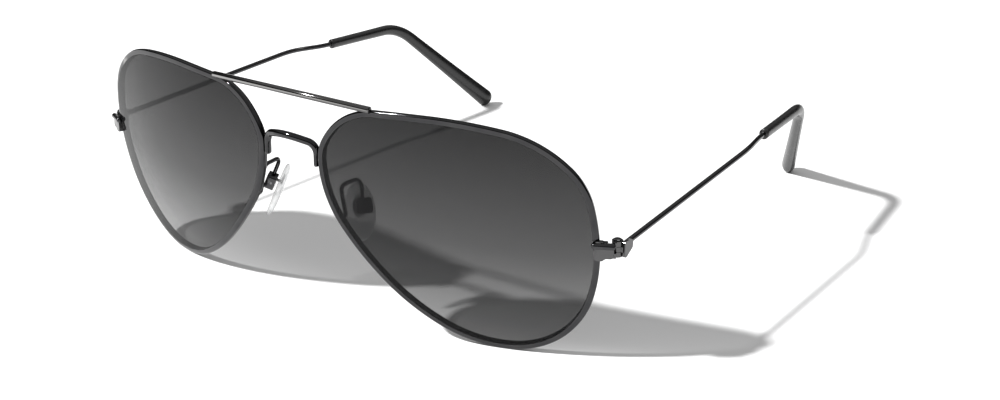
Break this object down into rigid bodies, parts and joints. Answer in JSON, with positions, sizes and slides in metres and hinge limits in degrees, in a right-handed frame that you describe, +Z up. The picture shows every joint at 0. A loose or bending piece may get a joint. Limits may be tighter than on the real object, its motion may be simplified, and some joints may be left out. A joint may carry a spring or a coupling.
{
  "type": "aviator sunglasses",
  "caption": "Teardrop-lens sunglasses with thin wire rims, straight brow bar, arched bridge, rocking nose pads and folding wire temples with plastic ear sleeves.",
  "frame": {"origin": "centre of the bounding box in X and Y, on the surface the open sunglasses stand on", "axes": "-Y is the direction the wearer looks, the temples run back along +Y, +X is the wearer's left, +Z is up"},
  "size_m": [0.1402, 0.1516, 0.0509],
  "materials": {
    "frame_metal": "polished dark gunmetal plating",
    "tinted_lens": "clear polished, grey tint that is dark at the top and lighter at the bottom",
    "black_sleeve": "glossy moulded black",
    "clear_pad": "clear soft plastic, lightly frosted",
    "screw_steel": "small turned steel screws",
    "insert_metal": "bright pressed metal"
  },
  "bodies": {
    "front": {"bridge": "frame_metal", "brow_bar": "frame_metal", "closing_block_lower_left": "frame_metal", "closing_block_lower_right": "frame_metal", "closing_block_upper_left": "frame_metal", "closing_block_upper_right": "frame_metal", "closing_screw_left": "screw_steel", "closing_screw_right": "screw_steel", "endpiece_left": "frame_metal", "endpiece_right": "frame_metal", "eyewire_left": "frame_metal", "eyewire_right": "frame_metal", "hinge_screw_left": "screw_steel", "hinge_screw_right": "screw_steel", "lens_left": "tinted_lens", "lens_right": "tinted_lens", "pad_arm_left": "frame_metal", "pad_arm_right": "frame_metal", "pad_box_left": "frame_metal", "pad_box_right": "frame_metal", "pad_screw_left": "screw_steel", "pad_screw_right": "screw_steel"},
    "pad_left": {"nose_pad_left": "clear_pad", "pad_insert_left": "insert_metal"},
    "pad_right": {"nose_pad_right": "clear_pad", "pad_insert_right": "insert_metal"},
    "temple_left": {"temple_hinge_left": "frame_metal", "temple_tip_left": "black_sleeve", "temple_wire_left": "frame_metal"},
    "temple_right": {"temple_hinge_right": "frame_metal", "temple_tip_right": "black_sleeve", "temple_wire_right": "frame_metal"}
  },
  "joints": [
    {"name": "temple_left_fold", "type": "hinge", "parent": "front", "child": "temple_left", "pos_m": [0.06819, -0.05617, 0.02661], "axis": [0, 0, 1], "range_deg": [0, 81]},
    {"name": "temple_right_fold", "type": "hinge", "parent": "front", "child": "temple_right", "pos_m": [-0.06819, -0.05617, 0.02661], "axis": [0, 0, -1], "range_deg": [0, 67]},
    {"name": "pad_left_rock", "type": "hinge", "parent": "front", "child": "pad_left", "pos_m": [0.0125, -0.06583, 0.0256], "axis": [0.525, 0.8477, -0.076], "range_deg": [-8, 8]},
    {"name": "pad_right_rock", "type": "hinge", "parent": "front", "child": "pad_right", "pos_m": [-0.0125, -0.06583, 0.0256], "axis": [-0.525, 0.8477, -0.076], "range_deg": [-8, 8]}
  ]
}
